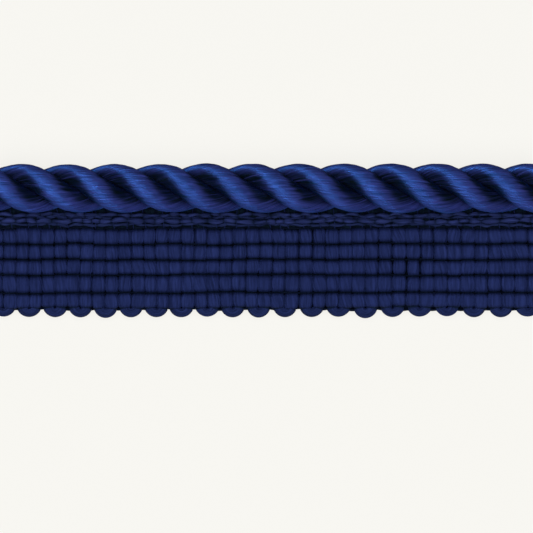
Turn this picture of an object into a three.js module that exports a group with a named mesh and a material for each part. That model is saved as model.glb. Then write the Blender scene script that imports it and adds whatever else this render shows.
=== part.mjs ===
// A cut length of flanged piping cord: a three-ply twisted cord with a knitted tape along one side of it.
// The tape starts under the cord with two rows of chain stitches, goes on in five ribs of short yarn
// floats, and ends in a row of round yarn loops. It lies flat, as it is sold, ready to be sewn in a seam.
// Millimetres. X runs along the trim, +Y points from the tape to the cord, +Z is up. The origin is the
// middle of the footprint, on the surface that the trim lies on.

import * as THREE from 'three';

// The cut length holds whole repeats of both patterns, so that two pieces join end to end.
const LENGTH = 57;
const LOBES = 12; // swells along one side of the cord
const SCALLOPS = 21; // loops along the free edge of the tape

const CORD_DIAMETER = 5;
const PLIES = 3;
const PLY_RADIUS = 1.14;
const CORE_RADIUS = 1.2; // how deep the crease between two plies goes
const CORD_SETTLES = 0.08; // how far the cord's own weight flattens the plies that it lies on
const RACK = 0.24; // how far the tape drags the twist along, for each millimetre across
const CREASE_AT = 0.37; // place along X of a crease that faces +Y

const TAPE_TUCK = 0.5; // how far the tape reaches under the swell of the cord
const TAPE_EDGE = 0.45; // thickness of the tape at its two edges
const STITCH_DIP = 0.16; // how much lower a chain row is between two of its stitches
const FLOAT_DIP = 0.42; // how much lower a rib is between two of its floats
const LOOP_DEPTH = 0.92;
const LOOP_ROUNDNESS = 0.6; // 1 would give the loops the outline of a sine wave, less makes them fuller
const NOTCH_DEPTH = 0.02; // how far a notch between two loops stays outside the last rib
const NOTCH_AT = 0.55; // place along X of a notch
const DRIFT = 0.35; // how far the columns of the tape wander along it
const END_MARGIN = 0.1; // no column has a point closer than this to a cut end

// The rows of the tape, from the cord outwards: width across, height of the crown, and height of the groove
// on the outer side.
const CHAIN_ROWS = [
  { width: 0.62, crown: 1.05, groove: 0.72 },
  { width: 0.98, crown: 1.3, groove: 0.8 },
];
const RIB_ROWS = [
  { width: 1.65, crown: 1.7, groove: 1.0 },
  { width: 1.63, crown: 1.72, groove: 1.0 },
  { width: 1.57, crown: 1.7, groove: 0.98 },
  { width: 1.86, crown: 1.72, groove: 0.95 },
  { width: 1.6, crown: 1.6, groove: 0.8 },
];

// Where a row has its points: share of the way across, and share of the height from groove to crown.
const CHAIN_POINTS = [
  { across: 0, rise: 0 },
  { across: 0.5, rise: 1 },
];
const RIB_POINTS = [
  { across: 0, rise: 0 },
  { across: 0.22, rise: 0.82 },
  { across: 0.5, rise: 1 },
  { across: 0.78, rise: 0.82 },
];
// Where a column has its points: share of the way along, and share of the dip between two columns.
const COLUMN_POINTS = [
  { along: 0, dip: 1 },
  { along: 0.3, dip: 0 },
  { along: 0.7, dip: 0 },
];
// Where a ply has its points: degrees around the cord from the middle of the ply. The first is its crease.
const PLY_POINTS = [-60, -49, -34, -17, 0, 17, 34, 49];
const CORD_STEPS_PER_LOBE = 8;
const RACK_ROUNDS = 12; // repeats that settle where a racked ply crosses a station

const CORD_LOOKS = { color: 0x25316b, roughness: 0.45 };
const TAPE_LOOKS = { color: 0x1c2550, roughness: 0.8 };

const CORD_RADIUS = CORD_DIAMETER / 2;
const PLY_ORBIT = CORD_RADIUS - PLY_RADIUS;
const LAY = (LENGTH / LOBES) * PLIES; // length of one full turn of the cord
const COLUMNS_PER_LOOP = 2; // a loop joins the ends of two columns of floats
const COLUMNS = SCALLOPS * COLUMNS_PER_LOOP;
const totalWidth = (rows) => rows.reduce((sum, row) => sum + row.width, 0);
const TAPE_SHOWS = totalWidth(CHAIN_ROWS) + totalWidth(RIB_ROWS) + LOOP_DEPTH + NOTCH_DEPTH;
const CORD_Y = TAPE_SHOWS / 2;
const CORD_Z = CORD_RADIUS - CORD_SETTLES;
const CHAINS_Y = CORD_Y - CORD_RADIUS; // where the tape comes out from under the cord
const RIBS_Y = CHAINS_Y - totalWidth(CHAIN_ROWS);
const EDGE_Y = RIBS_Y - totalWidth(RIB_ROWS);

// A closed solid through one outline after another, each with the same number of points. An outline runs
// counter-clockwise as seen from +X.
function loft(outlines) {
  const size = outlines[0].length;
  const last = (outlines.length - 1) * size;
  const index = [];
  for (let start = 0; start < last; start += size) {
    for (let j = 0; j < size; j++) {
      const a = start + j;
      const b = start + ((j + 1) % size);
      index.push(a, b, a + size, b, b + size, a + size);
    }
  }
  const endFaces = (outline) => {
    const flat = outline.map((point) => new THREE.Vector2(point.y, point.z));
    return THREE.ShapeUtils.triangulateShape(flat, []);
  };
  for (const [a, b, c] of endFaces(outlines[0])) index.push(a, c, b);
  for (const [a, b, c] of endFaces(outlines.at(-1))) index.push(last + a, last + b, last + c);
  const geometry = new THREE.BufferGeometry().setFromPoints(outlines.flat());
  geometry.setIndex(index);
  geometry.computeVertexNormals();
  return geometry;
}

// How far the outline of the cord is from its axis, at an angle around it from the middle of a ply. A ply
// runs aslant, so straight across the cord it shows as an ellipse.
function cordReach(angle) {
  const slant = Math.atan((2 * Math.PI * PLY_ORBIT) / LAY);
  const c = Math.cos(angle) / PLY_RADIUS;
  const s = (Math.sin(angle) * Math.cos(slant)) / PLY_RADIUS;
  const d = PLY_ORBIT / PLY_RADIUS;
  const a = c * c + s * s;
  const root = c * c * d * d - a * (d * d - 1);
  const reach = root > 0 ? (c * d + Math.sqrt(root)) / a : 0;
  return Math.max(reach, CORE_RADIUS);
}

// The outline of the cord straight across it, at a place along X. The twist is racked: its +Y side is ahead
// of its -Y side along X.
function cordOutline(x) {
  const outline = [];
  for (let ply = 0; ply < PLIES; ply++) {
    for (const degrees of PLY_POINTS) {
      const fromPly = THREE.MathUtils.degToRad(degrees);
      const around = ((ply + 0.5) * 2 * Math.PI) / PLIES + fromPly;
      const reach = cordReach(fromPly);
      let y = 0;
      let angle = 0;
      for (let round = 0; round < RACK_ROUNDS; round++) {
        angle = around + (2 * Math.PI * (x - RACK * y - CREASE_AT)) / LAY;
        y = reach * Math.cos(angle);
      }
      const z = Math.max(CORD_Z + reach * Math.sin(angle), 0);
      outline.push(new THREE.Vector3(x, CORD_Y + y, z));
    }
  }
  return outline;
}

function cordGeometry() {
  const steps = LOBES * CORD_STEPS_PER_LOBE;
  const outlines = [];
  for (let i = 0; i <= steps; i++) {
    outlines.push(cordOutline(LENGTH * (i / steps - 0.5)));
  }
  return loft(outlines);
}

// The columns crowd a little in one half of the length and spread in the other.
function wander(x) {
  return -DRIFT * Math.cos((2 * Math.PI * x) / LENGTH);
}

// The places along the trim at which the tape has an outline: the points of each column, and both cuts.
// Each has its share of the dip between two columns, and of the reach of a loop.
function tapeStations() {
  const stations = [];
  for (let column = -COLUMNS; column < COLUMNS; column++) {
    for (const { along, dip } of COLUMN_POINTS) {
      const place = column + along;
      const even = NOTCH_AT + (place * LENGTH) / COLUMNS;
      const x = even + wander(even) - wander(NOTCH_AT);
      const wave = Math.abs(Math.sin((Math.PI * place) / COLUMNS_PER_LOOP));
      stations.push({ x, dip, loop: wave ** LOOP_ROUNDNESS });
    }
  }
  const inside = stations.filter(({ x }) => Math.abs(x) < LENGTH / 2 - END_MARGIN);
  const first = { ...inside[0], x: -LENGTH / 2 };
  const last = { ...inside.at(-1), x: LENGTH / 2 };
  return [first, ...inside, last];
}

// The upper line of some rows side by side, from startY outwards, at a place along X. The grooves keep
// their height there, and the crowns are lower by drop.
function rowLine(x, startY, rows, points, grooveBefore, drop) {
  const line = [];
  let y = startY;
  let before = grooveBefore;
  for (const { width, crown, groove } of rows) {
    for (const { across, rise } of points) {
      const floor = THREE.MathUtils.lerp(before, groove, across);
      const z = THREE.MathUtils.lerp(floor, crown - drop, rise);
      line.push(new THREE.Vector3(x, y - width * across, z));
    }
    y -= width;
    before = groove;
  }
  return line;
}

function tapeOutline({ x, dip, loop }) {
  const innerY = CHAINS_Y + TAPE_TUCK;
  const chainGroove = CHAIN_ROWS.at(-1).groove;
  const ribGroove = RIB_ROWS.at(-1).groove;
  const tipY = EDGE_Y - NOTCH_DEPTH - LOOP_DEPTH * loop;
  const middleY = (EDGE_Y + tipY) / 2;
  return [
    new THREE.Vector3(x, innerY, 0),
    new THREE.Vector3(x, innerY, TAPE_EDGE),
    ...rowLine(x, CHAINS_Y, CHAIN_ROWS, CHAIN_POINTS, CHAIN_ROWS[0].groove, STITCH_DIP * dip),
    ...rowLine(x, RIBS_Y, RIB_ROWS, RIB_POINTS, chainGroove, FLOAT_DIP * dip),
    new THREE.Vector3(x, EDGE_Y, ribGroove),
    new THREE.Vector3(x, middleY, THREE.MathUtils.lerp(TAPE_EDGE, ribGroove, loop)),
    new THREE.Vector3(x, tipY, TAPE_EDGE / 2),
    new THREE.Vector3(x, middleY, 0),
  ];
}

function piece(name, geometry, { color, roughness }) {
  const material = new THREE.MeshStandardMaterial({ color, roughness, metalness: 0 });
  const mesh = new THREE.Mesh(geometry, material);
  mesh.name = name;
  return mesh;
}

const trim = new THREE.Group();
trim.add(piece('cord', cordGeometry(), CORD_LOOKS));
trim.add(piece('tape', loft(tapeStations().map(tapeOutline)), TAPE_LOOKS));

export default trim;
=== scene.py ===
"""Looks for a cut length of flanged piping cord: twisted satin plies, a knitted tape with puffy floats and
edge loops, chain stitches that bind the two, a pale floor, soft light, and a camera straight above.

Shapes are worked out in millimetres, in the frame of the solids, and written to the scene in metres.
"""

import math

import bpy
import numpy as np
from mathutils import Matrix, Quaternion, Vector


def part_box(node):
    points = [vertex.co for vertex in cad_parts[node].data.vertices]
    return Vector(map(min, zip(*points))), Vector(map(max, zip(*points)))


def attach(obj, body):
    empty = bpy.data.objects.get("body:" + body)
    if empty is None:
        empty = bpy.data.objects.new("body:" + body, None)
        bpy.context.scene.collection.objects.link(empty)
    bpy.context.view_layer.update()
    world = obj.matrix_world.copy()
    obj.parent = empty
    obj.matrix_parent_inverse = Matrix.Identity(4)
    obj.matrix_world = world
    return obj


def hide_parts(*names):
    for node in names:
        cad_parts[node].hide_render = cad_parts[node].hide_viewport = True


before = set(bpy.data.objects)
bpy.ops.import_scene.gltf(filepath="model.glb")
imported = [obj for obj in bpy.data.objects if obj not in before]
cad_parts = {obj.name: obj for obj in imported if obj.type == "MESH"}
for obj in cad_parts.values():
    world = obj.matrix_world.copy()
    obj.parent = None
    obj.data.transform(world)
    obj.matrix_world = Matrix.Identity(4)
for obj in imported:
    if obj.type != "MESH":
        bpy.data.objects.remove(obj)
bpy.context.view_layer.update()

MM = 0.001

# The cord
CORD_RADIUS = 2.5
CORD_SETTLES = 0.08  # how far the cord's own weight flattens the plies that it lies on
PLIES = 3
LOBES = 12  # swells along one side of the cord
PLY_RADIUS = 1.14
PLY_GAP = 0.01  # how far a ply stays clear of the plane between it and its neighbour
RACK = 0.24  # how far the tape drags the twist along, for each millimetre across
RACK_ROUNDS = 12  # repeats that settle where a racked ply crosses a ring
CREASE_AT = 0.37  # place along X of a crease that faces +Y
FILAMENT_TURN = 0.83  # radians a millimetre, against the lay: it keeps the filaments along the cord
PLY_RINGS = 215
PLY_POINTS = 270  # around one ply
PAINTED_SHADE_STARTS = 0.22  # share of the surface's normal along X at which the painted shade of a fold starts
PAINTED_SHADE_FULL = 0.56  # share at which the painted shade is darkest
SHADE_LIFT_STARTS = 0.50  # share of the cord's radius, out from its axis, at which the painted shade starts to fade, painted light on the cord's sides
SHADE_LIFT_FULL = 0.82  # share at which the painted shade is gone, and the sides are as light as the crowns

# The cut ends of the plies
CUT_RINGS = (0.97, 0.86, 0.74, 0.62, 0.50, 0.38, 0.26, 0.14, 0.04)  # shares of the ply's outline
CUT_HOLLOW = 0.05  # how far in the cut filaments end, on average
CUT_DEEPEST = 0.12
CUT_SHADE = 0.35

# The tape, from the cord outwards
SCALLOPS = 21  # loops along the free edge
NOTCH_AT = 0.55  # place along X of a notch between two loops
DRIFT = 0.35  # how far the columns wander along the tape
TAPE_TUCK = 0.5  # how far the floats reach under the swell of the cord
CHAIN_WIDTHS = (0.62, 0.98)
RIB_ROWS = (
    {"width": 1.65, "crown": 1.70, "groove": 0.95},
    {"width": 1.63, "crown": 1.72, "groove": 0.95},
    {"width": 1.57, "crown": 1.70, "groove": 0.93},
    {"width": 1.86, "crown": 1.72, "groove": 0.90},
    {"width": 1.60, "crown": 1.58, "groove": 1.15},
)
HEADING_GROOVE = 0.75  # height of the groove between the chain stitches and the first rib
WEB_Z = 0.6  # height of the middle of the tape
SELVEDGE = 0.20  # how far the straight edge between two loops is from the last groove

# The weft under the chain stitches
HEADING_RINGS = 6
HEADING_HALF = 0.8  # share of a column's half width
HEADING_FRONT = 0.6
HEADING_REAR = 0.06

# The floats
RINGS_PER_FLOAT = 13
FLOAT_SQUARENESS = 3.2  # 2 would give a float a round section, more makes it squarer
FLOAT_INSET = 0.03  # share of its length at each end where a float doesn't rise
FLOAT_NECK = 0.62  # share of a column's half width that a float has in the grooves
FLOAT_SPREAD = 0.64  # how much wider than that it is halfway
FLOAT_LEAN = 0.10  # how far aslant the filaments of a float run, on average
PINCHED_REAR = 0.35  # height of the back of the weft where the grooves pinch it
REAR_SWELL = 0.33  # how much lower it is halfway
PAINTED_SHADE_SHARPNESS = 1.5  # more keeps the painted shade closer to the grooves
TOP_POINTS = 40  # around the front of the weft
BACK_POINTS = 14  # around its back
POINT_SPACING = 0.05  # between two of the points around the weft
EDGE_SHADE = 0.2  # how dark the painted shade makes a float where it meets the next one
EDGE_STARTS = 0.85  # share of a column's half width at which that starts
EDGE_FULL = 1.02  # share at which it is darkest
REAR_SHADE = 0.8
FIBRE_RADIUS = 0.7  # radius of the yarn in the fibre coordinates
WEFT_PIECES = 3

# The loops
LOOP_HALF_WIDTH = 1.15
LOOP_DEPTH = 0.71
LOOP_SQUARENESS = 2.3
LOOP_FRONT = 1.28
LOOP_SINKS = 0.10  # how much lower its front is at the tip
LOOP_REAR = 0.06
LOOP_REAR_SINKS = 0.04
LOOP_SHADE = 0.15
TURN_STEPS = 18
EYE_INSET = 0.16  # how far the eye of a loop is inside the last groove
EYE_HALF_WIDTH = 0.07
EYE_DEPTH = 0.12

# The rows of chain stitches: distance out from the cord, height between two stitches, how far a stitch rises,
# its radius at its ends and halfway, its phase in columns, and the least shade
CHAIN_ROWS = (
    {"out": 0.24, "level": 0.84, "rise": 0.14, "thin": 0.15, "thick": 0.20, "phase": 0.35, "shade": 0.0},
    {"out": 0.89, "level": 0.98, "rise": 0.20, "thin": 0.19, "thick": 0.25, "phase": 0.05, "shade": 0.0},
    {"out": 1.26, "level": 0.76, "rise": 0.14, "thin": 0.13, "thick": 0.16, "phase": 0.45, "shade": 0.4},
    {"out": 0.54, "level": 0.70, "rise": 0.20, "thin": 0.11, "thick": 0.17, "phase": 0.75, "shade": 0.35},
)
CHAIN_FULLNESS = 0.6  # 1 would give a stitch the outline of a sine wave, less makes it fuller
CROSSING_SHADE = 0.95

# The threads
THREAD_STRANDS = 2
THREAD_SWELL = 0.18  # share of the radius by which the strands stand out
THREAD_TWIST = 0.72  # radians that the strands turn in a mean radius
THREAD_INSET = 0.02  # how far the long threads end inside the cut ends
FIRST_PLACE = 0.1  # in columns, so that the long threads start inside the cut end
WARP_RADIUS = 0.12
WARP_SINKS = 0.10  # how far below the level of its groove a front warp thread lies
WARP_REAR = 0.25  # height of the rear warp threads
WARP_WAVE = 0.08
WARP_SHADE = 0.7
EDGE_WARP_INSET = 0.10
EDGE_WARP_LEVEL = 0.85
TIE_RADIUS = 0.055
TIE_POINTS = 14
TIE_INSET = 0.1  # how far the ties stay inside the cut ends
TIE_LEVEL = 0.85
TIE_DROP = 0.25  # how much lower a tie is at the cord than at the floats
TIE_EARLINESS = 0.8  # less than 1 puts the highest point of a tie nearer to the floats
TIE_TUCK = 0.42  # how far a tie reaches under the cord
TIE_OVERLAP = 0.1  # how far it reaches over the floats
TIE_SHADE = 0.15

# The ground
GROUND_COLUMNS = 115
GROUND_ROWS = 60
GROUND_TUCK = 1.05  # how far the ground reaches under the cord
GROUND_OUTER_REACH = 0.10  # how far it reaches past the last groove
GROUND_INSET = 0.05  # how far it ends inside the cut ends
GROUND_THICKNESS = 0.12
GROUND_SINKS = 0.15  # how far its middle is below that of the tape
GROUND_RISE = 0.55  # how much higher it is at the cord
GROUND_RISE_FROM = 0.25  # how far under the cord it starts to rise
GROUND_RISE_PAST = 0.10
GROUND_SHADE = 0.7

# The materials
STREAK_STRETCH = 0.06  # how fast the streaks vary along the filaments, as a share of how fast across them
STREAK_LOW = 0.3  # noise at which a streak is darkest and roughest
STREAK_HIGH = 0.7  # noise at which it is lightest and glossiest
ROUGHER = 0.16
GLOSSIER = 0.10
QUARTER_TURN = 0.25  # it turns the long side of the highlights across the filaments
PLY_STEP = 5.0  # from ply to ply in the fibre coordinates, so that no two have the same streaks
WEFT_STEP = 3.0  # from column to column of the weft

# The floor, in metres
FLOOR_REACH = 6.0
FLOOR_DROP = 0.00002  # how far it is below the part, so that the two don't share a plane

# The photo's frame
PHOTO_SIDE = 533
PIXELS_PER_MM = 9.68
CORD_PIXEL_Y = 188.2
CAMERA_HEIGHT = 800.0
SENSOR = 36.0

cord_low, cord_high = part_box("cord")
LENGTH = (cord_high.x - cord_low.x) / MM
CORD_Y = (cord_high.y + cord_low.y) / 2 / MM
CORD_Z = CORD_RADIUS - CORD_SETTLES
LAY = LENGTH / LOBES * PLIES  # length of one full turn of the cord
PLY_ORBIT = CORD_RADIUS - PLY_RADIUS
CHAINS_Y = CORD_Y - CORD_RADIUS  # where the tape comes out from under the cord
RIBS_Y = CHAINS_Y - sum(CHAIN_WIDTHS)
EDGE_Y = RIBS_Y - sum(row["width"] for row in RIB_ROWS)
COLUMNS = 2 * SCALLOPS  # a loop joins the ends of two columns of floats
COLUMN_PITCH = LENGTH / COLUMNS
FIRST_COLUMN = -SCALLOPS - 1


# Shapes


def noise(shape, spread, blur, seed):
    """A field of noise that repeats at its edges, with a mean of 0 and this standard deviation as its spread.

    The blur is in cells along each side.
    """
    field = np.random.default_rng(seed).standard_normal(shape)
    rows = np.fft.fftfreq(shape[0])[:, None]
    columns = np.fft.fftfreq(shape[1])[None, :]
    spectrum = np.fft.fft2(field)
    spectrum *= np.exp(-2 * (math.pi * rows * blur[0]) ** 2 - 2 * (math.pi * columns * blur[1]) ** 2)
    field = np.real(np.fft.ifft2(spectrum))
    return spread * ((field - field.mean()) / field.std())


def noise_line(count, spread, blur, seed):
    """A line of noise with that many cells."""
    return noise((1, count), spread, (0, blur), seed)[0]


def smooth(value, low, high):
    """0 below low, 1 above high, and a soft step between."""
    share = np.clip((value - low) / (high - low), 0, 1)
    return share * share * (3 - 2 * share)


def mix(start, end, share):
    return start + (end - start) * share


def bulge(share, flatness, fullness):
    """0 where the share is 0 or 1, and 1 halfway. A lower fullness makes the ends steeper."""
    return (1 - abs(2 * share - 1) ** flatness) ** fullness


def unit(vectors):
    """Vectors of the same directions, each with a length of 1."""
    return vectors / np.maximum(np.linalg.norm(vectors, axis=-1, keepdims=True), 1e-9)


def stacked(shape, *parts):
    """Vectors of these parts, each of which is first repeated to fill the shape."""
    return np.stack([np.broadcast_to(part, shape) for part in parts], axis=-1)


def tube_faces(rings, around):
    """The faces of a tube of that many rings, with both of its ends closed by one face each."""
    ring, place = np.meshgrid(np.arange(rings - 1), np.arange(around), indexing="ij")
    here = (ring * around + place).ravel()
    beside = (ring * around + (place + 1) % around).ravel()
    sides = np.stack([here, beside, beside + around, here + around], axis=1).tolist()
    first = list(range(around - 1, -1, -1))
    last = list(range((rings - 1) * around, rings * around))
    return sides + [first, last]


def make_piece(name, tubes, material, replaced):
    """A smooth mesh piece of one or more closed tubes, which rides on the part.

    A tube is its points, fibre coordinates and painted shade, with the rings first. Filaments join its rings.
    The piece has three attributes: fibre, which runs across the filaments in X and Y and along them in Z,
    filament, which is their direction, and a painted shade, from 0 on the crowns to 1 deep in a fold.
    """
    points = []
    faces = []
    fibre = []
    filament = []
    painted_shade = []
    start = 0
    for ring_points, ring_fibre, ring_painted_shade in tubes:
        rings, around = ring_points.shape[:2]
        points.append(ring_points.reshape(-1, 3))
        fibre.append(ring_fibre.reshape(-1, 3))
        filament.append(unit(np.gradient(ring_points, axis=0)).reshape(-1, 3))
        painted_shade.append(np.broadcast_to(ring_painted_shade, (rings, around)).ravel())
        faces += [[start + corner for corner in face] for face in tube_faces(rings, around)]
        start += rings * around
    mesh = bpy.data.meshes.new(name)
    mesh.from_pydata((np.concatenate(points) * MM).tolist(), [], faces)
    mesh.polygons.foreach_set("use_smooth", [True] * len(mesh.polygons))
    for key, vectors in (("fibre", fibre), ("filament", filament)):
        attribute = mesh.attributes.new(key, "FLOAT_VECTOR", "POINT")
        attribute.data.foreach_set("vector", np.concatenate(vectors).astype(np.float32).ravel())
    attribute = mesh.attributes.new("painted_shade", "FLOAT", "POINT")
    attribute.data.foreach_set("value", np.concatenate(painted_shade).astype(np.float32))
    mesh.materials.append(material)
    mesh.update()
    piece = bpy.data.objects.new(name, mesh)
    bpy.context.scene.collection.objects.link(piece)
    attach(piece, "root")
    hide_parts(replaced)
    return piece


def thread(path, radius, painted_shade, sides):
    """A thin twisted thread along a path. The radius is one number, or one for each point of the path."""
    tangent = unit(np.gradient(path, axis=0))
    side = unit(np.cross(tangent, [0.0, 0.0, 1.0]))
    up = np.cross(side, tangent)
    run = np.concatenate([[0.0], np.cumsum(np.linalg.norm(np.diff(path, axis=0), axis=1))])[:, None]
    angle = np.linspace(0, 2 * math.pi, sides, endpoint=False)[None, :]
    radii = np.broadcast_to(radius, len(path))[:, None]
    reach = radii * (1 + THREAD_SWELL * np.cos(THREAD_STRANDS * angle - THREAD_TWIST * run / radii.mean()))
    across = (reach * np.cos(angle))[..., None]
    upwards = (reach * np.sin(angle))[..., None]
    points = path[:, None] + (side[:, None] * across + up[:, None] * upwards)
    fibre = stacked(reach.shape, np.cos(angle) * radii, np.sin(angle) * radii, run)
    return points, fibre, painted_shade


# Materials


def yarn_material(name, dark, light, fold_shade, roughness, tint, ior, anisotropy, streak, relief, level):
    """Yarn of fine filaments.

    The fold shade is the share of the colour left as painted shade deep in a fold between the yarns, streak
    is how many streaks there are to a millimetre across, relief is how high they stand, and level is how
    strong the gloss is.
    """
    material = bpy.data.materials.new(name)
    material.use_nodes = True
    nodes = material.node_tree.nodes
    links = material.node_tree.links
    shader = nodes["Principled BSDF"]
    shader.inputs["IOR"].default_value = ior
    shader.inputs["Specular IOR Level"].default_value = level
    shader.inputs["Specular Tint"].default_value = (*tint, 1)
    shader.inputs["Anisotropic"].default_value = anisotropy
    shader.inputs["Anisotropic Rotation"].default_value = QUARTER_TURN

    filament = nodes.new("ShaderNodeAttribute")
    filament.attribute_name = "filament"
    links.new(filament.outputs["Vector"], shader.inputs["Tangent"])

    fibre = nodes.new("ShaderNodeAttribute")
    fibre.attribute_name = "fibre"
    stretch = nodes.new("ShaderNodeMapping")
    stretch.inputs["Scale"].default_value = (1, 1, STREAK_STRETCH)
    links.new(fibre.outputs["Vector"], stretch.inputs["Vector"])
    fine = nodes.new("ShaderNodeTexNoise")
    fine.inputs["Scale"].default_value = streak
    fine.inputs["Detail"].default_value = 3
    fine.inputs["Roughness"].default_value = 0.6
    links.new(stretch.outputs["Vector"], fine.inputs["Vector"])

    ramp = nodes.new("ShaderNodeValToRGB")
    ramp.color_ramp.elements[0].position = STREAK_LOW
    ramp.color_ramp.elements[0].color = (*dark, 1)
    ramp.color_ramp.elements[1].position = STREAK_HIGH
    ramp.color_ramp.elements[1].color = (*light, 1)
    links.new(fine.outputs["Fac"], ramp.inputs["Fac"])

    gloss = nodes.new("ShaderNodeMapRange")
    gloss.inputs["From Min"].default_value = STREAK_LOW
    gloss.inputs["From Max"].default_value = STREAK_HIGH
    gloss.inputs["To Min"].default_value = roughness + ROUGHER
    gloss.inputs["To Max"].default_value = roughness - GLOSSIER
    links.new(fine.outputs["Fac"], gloss.inputs["Value"])
    links.new(gloss.outputs["Result"], shader.inputs["Roughness"])

    # Painted shade: the colour is multiplied towards the fold shade where the painted shade attribute is full
    painted_shade = nodes.new("ShaderNodeAttribute")
    painted_shade.attribute_name = "painted_shade"
    shade = nodes.new("ShaderNodeMix")
    shade.data_type = "RGBA"
    shade.blend_type = "MULTIPLY"
    shade.inputs["B"].default_value = (*fold_shade, 1)
    links.new(painted_shade.outputs["Fac"], shade.inputs["Factor"])
    links.new(ramp.outputs["Color"], shade.inputs["A"])
    links.new(shade.outputs["Result"], shader.inputs["Base Color"])

    bump = nodes.new("ShaderNodeBump")
    bump.inputs["Strength"].default_value = 1.0
    bump.inputs["Distance"].default_value = relief * MM
    links.new(fine.outputs["Fac"], bump.inputs["Height"])
    links.new(bump.outputs["Normal"], shader.inputs["Normal"])
    return material


SATIN = {
    "roughness": 0.34, "tint": (0.05, 0.26, 1.0), "ior": 1.8, "anisotropy": 1.0,
    "streak": 7.0, "relief": 0.08, "level": 1.0,
}
SOFT = {
    "roughness": 0.7, "tint": (0.2, 0.35, 1.0), "ior": 1.3, "anisotropy": 0.3,
    "streak": 6.0, "relief": 0.08, "level": 0.4,
}
DULL = {
    "roughness": 0.8, "tint": (0.4, 0.5, 1.0), "ior": 1.2, "anisotropy": 0.3,
    "streak": 6.0, "relief": 0.03, "level": 0.2,
}
CORD_YARN = yarn_material(
    "cord_yarn", dark=(0.007, 0.010, 0.054), light=(0.040, 0.049, 0.245), fold_shade=(0.09, 0.15, 0.008),
    **SATIN,
)
TAPE_YARN = yarn_material(
    "tape_yarn", dark=(0.0072, 0.0114, 0.047), light=(0.0180, 0.0284, 0.120), fold_shade=(0.27, 0.40, 0.15),
    **SOFT,
)
CHAIN_YARN = yarn_material(
    "chain_yarn", dark=(0.0072, 0.0114, 0.044), light=(0.0255, 0.0365, 0.145), fold_shade=(0.14, 0.24, 0.08),
    **SOFT,
)
# Painted shade: the navy yarn made much darker for the threads in the grooves and the ground under the floats
# and the cord, to read as the shade there
SHADED_BINDING_YARN = yarn_material(
    "binding_yarn_painted_shade", dark=(0.004, 0.008, 0.020), light=(0.010, 0.018, 0.045), fold_shade=(0.3, 0.3, 0.3),
    **DULL,
)


# The cord


def ply_tube(ply):
    """The surface of one ply, with its filaments along the rows of points, pressed flat on its neighbours."""
    shape = (PLY_RINGS, PLY_POINTS)
    x = np.linspace(-LENGTH / 2, LENGTH / 2, PLY_RINGS)[:, None]
    seat = np.linspace(0, 2 * math.pi, PLY_POINTS, endpoint=False)[None, :]
    slant = math.atan(2 * math.pi * PLY_ORBIT / LAY)
    lift = noise(shape, spread=0.014, blur=(7, 2.6), seed=11 + ply)
    lift += noise(shape, spread=0.011, blur=(9, 1.2), seed=21 + ply)
    lift += noise(shape, spread=0.04, blur=(18, 30), seed=81 + ply)
    y = np.zeros(shape)
    for _ in range(RACK_ROUNDS):
        unracked = x - RACK * y
        centre = 2 * math.pi * ((ply + 0.5) / PLIES + (unracked - CREASE_AT) / LAY)
        angle = seat - FILAMENT_TURN * unracked
        out = PLY_ORBIT + (PLY_RADIUS + lift) * np.cos(angle)
        along = (PLY_RADIUS + lift) / math.cos(slant) * np.sin(angle)
        limit = np.maximum(out, 0) * math.tan(math.pi / PLIES) - PLY_GAP
        along = np.clip(along, -limit, limit)
        y = out * np.cos(centre) - along * np.sin(centre)
    z = out * np.sin(centre) + along * np.cos(centre)
    points = stacked(shape, x, CORD_Y + y, np.maximum(CORD_Z + z, 0.0))
    fibre = stacked(shape, PLY_RADIUS * np.cos(seat), PLY_RADIUS * np.sin(seat) + PLY_STEP * ply, x)

    # Painted shade: the colour darkens where the surface turns to face along X, on the flanks of the plies by
    # the creases
    ring_step = np.gradient(points, axis=0)
    around_step = np.roll(points, -1, axis=1) - np.roll(points, 1, axis=1)
    facing_along = np.abs(unit(np.cross(around_step, ring_step))[..., 0])
    feathered = facing_along + noise(shape, spread=0.05, blur=(4, 2.4), seed=61 + ply)
    # Painted light on the cord's sides, seen from above: there the painted shade of the folds fades out
    painted_shade_lift = smooth(np.abs(y) / CORD_RADIUS, SHADE_LIFT_STARTS, SHADE_LIFT_FULL)
    return points, fibre, smooth(feathered, PAINTED_SHADE_STARTS, PAINTED_SHADE_FULL) * (1 - painted_shade_lift)


def cut_end(points, fibre, seed):
    """Rings that close the end of a ply with the rough face of its cut filaments, from the edge inwards."""
    middle = points.mean(axis=0)
    fibre_middle = fibre.mean(axis=0)
    inwards = -np.sign(middle[0])
    shares = np.array(CUT_RINGS)[:, None, None]
    rough = noise((len(shares), len(points)), spread=0.03, blur=(0.4, 2.0), seed=seed)
    rings = middle + (points - middle) * shares
    rings[..., 0] += inwards * np.clip(CUT_HOLLOW + rough, 0, CUT_DEEPEST)
    ring_fibre = fibre_middle + (fibre - fibre_middle) * shares
    return rings, ring_fibre, np.full(rings.shape[:2], CUT_SHADE)


def whole_ply(ply):
    """A ply with both of its cut ends."""
    side = ply_tube(ply)
    points, fibre, _ = side
    start = cut_end(points[0], fibre[0], seed=91 + ply)
    end = cut_end(points[-1], fibre[-1], seed=95 + ply)
    return [np.concatenate([first[::-1], middle, last]) for first, middle, last in zip(start, side, end)]


def make_cord():
    for ply in range(PLIES):
        make_piece(f"cord_ply_{ply + 1}", [whole_ply(ply)], CORD_YARN, "cord")


# The tape


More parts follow.
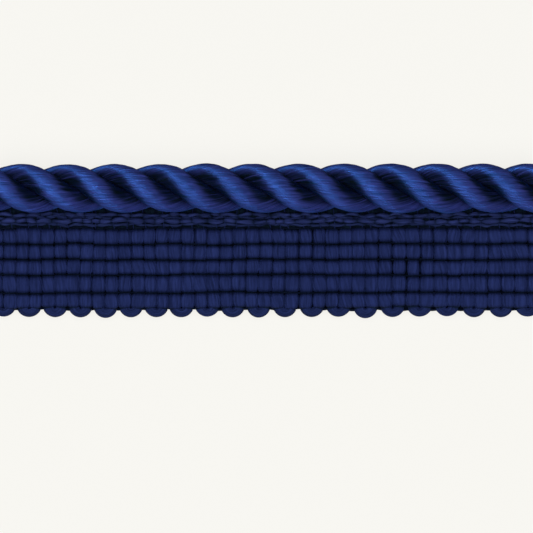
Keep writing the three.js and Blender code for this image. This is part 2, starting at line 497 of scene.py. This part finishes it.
FLOATS = (COLUMNS, len(RIB_ROWS))
FLOAT_ENDS = (COLUMNS, len(RIB_ROWS) + 1)
END_OFFSETS = noise(FLOAT_ENDS, spread=0.06, blur=(1.0, 0.7), seed=31)  # along the tape
END_SWAYS = noise(FLOAT_ENDS, spread=0.06, blur=(0.6, 0.5), seed=35)  # across it
CROWN_LIFTS = noise(FLOATS, spread=0.05, blur=(0.5, 0.5), seed=32)
WIDTH_LIFTS = noise(FLOATS, spread=0.08, blur=(0.4, 0.4), seed=33)
LEANS = FLOAT_LEAN + noise(FLOATS, spread=0.16, blur=(0.6, 0.4), seed=34)
LOOP_DEPTHS = LOOP_DEPTH + noise_line(SCALLOPS, spread=0.04, blur=0.4, seed=36)

# What a ring of the weft has: its middle, its direction across, its half width, its highest and its lowest
# point, how far its filaments have moved around it, its painted shade, darkest in a fold, and how square it
# is
RING_KEYS = ("x", "y", "side", "half", "front", "rear", "lean", "painted_shade", "square")


def wander(x):
    """How far a column at X is moved, so that the columns crowd a little in one half of the length."""
    return -DRIFT * math.cos(2 * math.pi * x / LENGTH)


def column_x(place):
    """Where a place counted in columns from the middle notch is, along X."""
    even = NOTCH_AT + place * COLUMN_PITCH
    return even + wander(even) - wander(NOTCH_AT)


def column_rings(column):
    """The rings of one column of floats, from under the cord to the free edge."""
    number = column - FIRST_COLUMN
    middle = column_x(column + 0.5)
    half = (column_x(column + 1) - column_x(column)) / 2
    offsets = END_OFFSETS[number]
    sways = END_SWAYS[number]
    plain = {"side": (1.0, 0.0), "lean": 0.0, "square": FLOAT_SQUARENESS}
    heading = {
        **plain,
        "x": middle + offsets[0],
        "half": HEADING_HALF * half,
        "front": HEADING_FRONT,
        "rear": HEADING_REAR,
        # the weft under the chain stitches is in full painted shade
        "painted_shade": 1,
    }
    heading_y = np.linspace(CHAINS_Y + TAPE_TUCK, RIBS_Y, HEADING_RINGS, endpoint=False)
    rings = [{**heading, "y": y} for y in heading_y]
    y = RIBS_Y
    before = HEADING_GROOVE
    lean = 0.0
    for rib, row in enumerate(RIB_ROWS):
        crown = row["crown"] + CROWN_LIFTS[number, rib]
        for step in range(RINGS_PER_FLOAT):
            share = (1 - math.cos(math.pi * step / RINGS_PER_FLOAT)) / 2
            inner_share = min(max((share - FLOAT_INSET) / (1 - 2 * FLOAT_INSET), 0), 1)
            swell = bulge(inner_share, flatness=4, fullness=0.5)
            spread = bulge(share, flatness=2, fullness=0.6)
            rings.append(
                {
                    **plain,
                    "x": middle + mix(offsets[rib], offsets[rib + 1], share),
                    "y": y - row["width"] * share + mix(sways[rib], sways[rib + 1], share),
                    "half": half * (FLOAT_NECK + FLOAT_SPREAD * spread + WIDTH_LIFTS[number, rib] * swell),
                    "front": mix(mix(before, row["groove"], share), crown, swell),
                    "rear": PINCHED_REAR - REAR_SWELL * swell,
                    "lean": lean + LEANS[number, rib] * share,
                    # painted shade, darkest at the ends of a float, in the grooves
                    "painted_shade": (1 - swell) ** PAINTED_SHADE_SHARPNESS,
                }
            )
        y -= row["width"]
        before = row["groove"]
        lean += LEANS[number, rib]
    return rings


def turn_rings(middle, loop_depth):
    """The rings of the loop that joins two columns at the free edge. Its outline is an arc of a circle."""
    rise = (LOOP_HALF_WIDTH ** 2 - loop_depth ** 2) / (2 * loop_depth)
    arc_radius = loop_depth + rise
    arc_end = math.asin(LOOP_HALF_WIDTH / arc_radius)
    arc_y = EDGE_Y - SELVEDGE + rise
    eye_y = EDGE_Y + EYE_INSET
    rings = []
    for step in range(TURN_STEPS + 1):
        angle = math.pi * step / TURN_STEPS
        on_arc = arc_end * (2 * step / TURN_STEPS - 1)
        outer = np.array([middle + arc_radius * math.sin(on_arc), arc_y - arc_radius * math.cos(on_arc)])
        inner = np.array([middle - EYE_HALF_WIDTH * math.cos(angle), eye_y - EYE_DEPTH * math.sin(angle)])
        half = np.linalg.norm(outer - inner) / 2
        x, y = (outer + inner) / 2
        rings.append(
            {
                "x": x,
                "y": y,
                "side": (inner - outer) / (2 * half),
                "half": half,
                "front": LOOP_FRONT - LOOP_SINKS * math.sin(angle),
                "rear": LOOP_REAR - LOOP_REAR_SINKS * math.sin(angle),
                "lean": 0.0,
                "painted_shade": LOOP_SHADE,
                "square": LOOP_SQUARENESS,
            }
        )
    return rings


def gathered(rings, key):
    """What the rings have for a key, with one row for each ring."""
    return np.array([ring[key] for ring in rings]).reshape(len(rings), -1)


def moved_around(field, moves):
    """A field of noise with each row moved by its own number of cells. It repeats at its edges."""
    cells = np.arange(field.shape[1] + 1)
    moved = np.empty(field.shape)
    for number, move in enumerate(moves):
        row = np.append(field[number], field[number, 0])
        moved[number] = np.interp((cells[:-1] + move) % field.shape[1], cells, row)
    return moved


def hairpin(first):
    """The yarn that runs out along one column, turns at the free edge, and comes back along the next."""
    there = column_rings(first)
    turn = turn_rings(column_x(first + 1), LOOP_DEPTHS[(first - FIRST_COLUMN) // 2])
    back = [{**ring, "side": (-1.0, 0.0), "lean": -ring["lean"]} for ring in column_rings(first + 1)[::-1]]
    rings = there + turn + back
    x, y, side, half, front, rear, lean, painted_shade, square = (gathered(rings, key) for key in RING_KEYS)

    across_top = np.linspace(0, math.pi, TOP_POINTS)
    across_back = np.linspace(math.pi, 2 * math.pi, BACK_POINTS + 2)[1:-1]
    angle = np.concatenate([across_top, across_back])[None, :]
    wide = np.cos(angle)
    high = np.where(angle < math.pi, 1, -1) * (1 - np.abs(wide) ** square) ** (1 / square)
    shape = (len(rings), angle.shape[1])
    streaks = noise(shape, spread=0.022, blur=(6, 1.5), seed=100 + first)
    streaks += noise(shape, spread=0.014, blur=(8, 0.8), seed=200 + first)
    relief = moved_around(streaks, lean[:, 0] / POINT_SPACING)
    out = (half + relief) * wide
    z = WEB_Z + (np.where(high > 0, front - WEB_Z, WEB_Z - rear) + relief) * high
    points = stacked(
        shape,
        np.clip(x + side[:, :1] * out, -LENGTH / 2, LENGTH / 2),
        y + side[:, 1:] * out,
        np.maximum(z, 0.0),
    )

    run = np.concatenate([[0.0], np.cumsum(np.hypot(np.diff(x[:, 0]), np.diff(y[:, 0])))])[:, None]
    slanted = angle + lean / FIBRE_RADIUS
    fibre = stacked(
        shape,
        FIBRE_RADIUS * np.cos(slanted) + WEFT_STEP * first,
        FIBRE_RADIUS * np.sin(slanted),
        run,
    )
    # Painted shade where two floats meet, and on the back of the weft
    half_pitch = COLUMN_PITCH / 2
    edges = EDGE_SHADE * smooth(np.abs(wide) * half, EDGE_STARTS * half_pitch, EDGE_FULL * half_pitch)
    return points, fibre, np.where(high > 0, np.maximum(painted_shade, edges), REAR_SHADE)


def make_weft():
    firsts = [FIRST_COLUMN + 2 * scallop for scallop in range(SCALLOPS)]
    per_piece = SCALLOPS // WEFT_PIECES
    pieces = []
    for number in range(WEFT_PIECES):
        tubes = [hairpin(first) for first in firsts[number * per_piece : (number + 1) * per_piece]]
        pieces.append(make_piece(f"tape_weft_{number + 1}", tubes, TAPE_YARN, "tape"))
    return pieces


def along_tape(per_column):
    """Places along the tape, counted in columns, and where they are along X, from cut end to cut end."""
    places = np.linspace(FIRST_COLUMN + FIRST_PLACE, FIRST_COLUMN + COLUMNS, COLUMNS * per_column)
    limit = LENGTH / 2 - THREAD_INSET
    return places, np.clip([column_x(place) for place in places], -limit, limit)


def make_groove_threads():
    """The thin warp threads that pinch the floats between two ribs, and the one that edges the tape."""
    places, x = along_tape(per_column=10)
    lines = [(RIBS_Y, HEADING_GROOVE)]
    y = RIBS_Y
    for row in RIB_ROWS[:-1]:
        y -= row["width"]
        lines.append((y, row["groove"]))
    lines.append((EDGE_Y - SELVEDGE + EDGE_WARP_INSET, EDGE_WARP_LEVEL))
    wave = WARP_WAVE * np.cos(2 * math.pi * places)
    tubes = []
    for number, (line_y, groove) in enumerate(lines):
        sway = noise_line(len(places), spread=0.055, blur=6, seed=41 + number)
        for z in (groove - WARP_SINKS - wave, WARP_REAR + wave):
            path = np.stack([x, line_y + sway, z], axis=1)
            tubes.append(thread(path, WARP_RADIUS, WARP_SHADE, sides=8))
    return make_piece("tape_warp_threads", tubes, SHADED_BINDING_YARN, "tape")


def make_chain():
    """The chain stitches beside the cord: rows of short lumps, where a yarn rises between two crossings."""
    places, x = along_tape(per_column=14)
    tubes = []
    for number, row in enumerate(CHAIN_ROWS):
        stagger = noise_line(len(places), spread=0.32, blur=10, seed=51 + number)
        sway = noise_line(len(places), spread=0.07, blur=4, seed=61 + number)
        bob = noise_line(len(places), spread=0.06, blur=4, seed=71 + number)
        hump = np.abs(np.sin(math.pi * (places + row["phase"] + stagger))) ** CHAIN_FULLNESS
        path = np.stack([x, CHAINS_Y - row["out"] + sway, row["level"] + row["rise"] * hump + bob], axis=1)
        radius = mix(row["thin"], row["thick"], hump)
        # Painted shade, darkest where the yarn dips at the crossings, never less than the row's own shade
        painted_shade = np.maximum(row["shade"], CROSSING_SHADE * (1 - hump))[:, None]
        tubes.append(thread(path, radius, painted_shade, sides=12))
    return make_piece("tape_chain_stitches", tubes, CHAIN_YARN, "tape")


def make_ties():
    """Thin threads that run up from the floats, over the chain stitches, to the underside of the cord."""
    dice = np.random.default_rng(61)
    share = np.linspace(0, 1, TIE_POINTS)
    y = mix(RIBS_Y - TIE_OVERLAP, CHAINS_Y + TIE_TUCK, share)
    limit = LENGTH / 2 - TIE_INSET
    tubes = []
    for column in range(FIRST_COLUMN, FIRST_COLUMN + COLUMNS):
        start = column_x(column + 0.5) + dice.uniform(-0.6, 0.6)
        lean = dice.uniform(-0.5, 0.1)
        rise = dice.uniform(0.05, 0.32)
        x = np.clip(start + lean * share, -limit, limit)
        z = TIE_LEVEL + rise * np.sin(math.pi * share ** TIE_EARLINESS) - TIE_DROP * share
        tubes.append(thread(np.stack([x, y, z], axis=1), TIE_RADIUS, TIE_SHADE, sides=6))
    return make_piece("tape_tie_threads", tubes, TAPE_YARN, "tape")


def make_ground():
    """The ground of the tape, inside its floats and up to the underside of the cord, and its flat size."""
    inner = CHAINS_Y + GROUND_TUCK
    outer = EDGE_Y - GROUND_OUTER_REACH
    x = np.linspace(-LENGTH / 2 + GROUND_INSET, LENGTH / 2 - GROUND_INSET, GROUND_COLUMNS)[:, None]
    y = np.linspace(inner, outer, GROUND_ROWS)
    rise = GROUND_RISE * smooth(y, CHAINS_Y + GROUND_RISE_FROM, inner + GROUND_RISE_PAST)
    z = WEB_Z - GROUND_SINKS + rise + GROUND_THICKNESS / 2
    front = np.stack([y, z], axis=1)
    rear = front[::-1] - [0.0, GROUND_THICKNESS]
    section = np.concatenate([front, rear])
    points = stacked((GROUND_COLUMNS, len(section)), x, section[:, 0], section[:, 1])
    tube = (points, points, GROUND_SHADE)
    ground = make_piece("tape_ground", [tube], SHADED_BINDING_YARN, "tape")
    flat_width = float(np.hypot(np.diff(y), np.diff(z)).sum())
    return ground, (flat_width * MM, LENGTH * MM)


# The stage


def make_floor():
    mesh = bpy.data.meshes.new("floor")
    signs = ((-1, -1), (1, -1), (1, 1), (-1, 1))
    corners = [(x * FLOOR_REACH, y * FLOOR_REACH, -FLOOR_DROP) for x, y in signs]
    mesh.from_pydata(corners, [], [(0, 1, 2, 3)])
    material = bpy.data.materials.new("floor_paper")
    material.use_nodes = True
    shader = material.node_tree.nodes["Principled BSDF"]
    shader.inputs["Base Color"].default_value = (0.12, 0.118, 0.113, 1)
    shader.inputs["Roughness"].default_value = 0.9
    shader.inputs["Emission Color"].default_value = (1.0, 0.99, 0.945, 1)
    shader.inputs["Emission Strength"].default_value = 0.815
    mesh.materials.append(material)
    floor = bpy.data.objects.new("floor", mesh)
    floor.visible_glossy = False
    bpy.context.scene.collection.objects.link(floor)
    return floor


def make_light(name, place, sizes, power, spin=0.0, spared=None):
    """An area light that points at the part, with its long side spun away from Y, in degrees.

    What is spared gets no light, and so no shadow, from it.
    """
    light = bpy.data.lights.new(name, "AREA")
    light.shape = "RECTANGLE"
    light.size, light.size_y = sizes
    light.energy = power
    lamp = bpy.data.objects.new(name, light)
    lamp.location = place
    turn = Quaternion((0, 0, 1), math.radians(spin))
    lamp.rotation_euler = ((-Vector(place)).to_track_quat("-Z", "X") @ turn).to_euler()
    bpy.context.scene.collection.objects.link(lamp)
    if spared:
        receivers = bpy.data.collections.new(name + "_receivers")
        receivers.objects.link(spared)
        receivers.collection_objects[0].light_linking.link_state = "EXCLUDE"
        lamp.light_linking.receiver_collection = receivers
    return lamp


def make_stage():
    """The floor, a faint light from all around, a soft light, and a strip that gives the yarn its gloss."""
    floor = make_floor()
    world = bpy.data.worlds.new("studio")
    world.use_nodes = True
    background = world.node_tree.nodes["Background"]
    background.inputs["Color"].default_value = (1.0, 1.0, 1.0, 1)
    background.inputs["Strength"].default_value = 0.02
    bpy.context.scene.world = world
    soft = make_light("soft", place=(0.0, -0.10, 1.0), sizes=(1.6, 1.6), power=18.0)
    soft.visible_glossy = False
    key = make_light("key", place=(-0.28, 0.0, 0.92), sizes=(0.18, 2.4), power=10.2, spin=29.0, spared=floor)
    key.visible_diffuse = False


def make_camera():
    """A long lens straight above, which shows what the photo's frame shows."""
    camera = bpy.data.cameras.new("camera")
    camera.sensor_width = SENSOR
    camera.lens = SENSOR * (CAMERA_HEIGHT - CORD_Z) * PIXELS_PER_MM / PHOTO_SIDE
    camera.clip_start = 0.01
    camera.clip_end = 10.0
    middle_y = CORD_Y - (PHOTO_SIDE / 2 - CORD_PIXEL_Y) / PIXELS_PER_MM
    eye = bpy.data.objects.new("camera", camera)
    eye.location = (0.0, middle_y * MM, CAMERA_HEIGHT * MM)
    bpy.context.scene.collection.objects.link(eye)
    bpy.context.scene.camera = eye


make_camera()
make_cord()
weft = make_weft()
threads = make_groove_threads()
chain = make_chain()
ties = make_ties()
ground, flat_size = make_ground()
make_stage()
bpy.context.scene.view_settings.view_transform = "Standard"
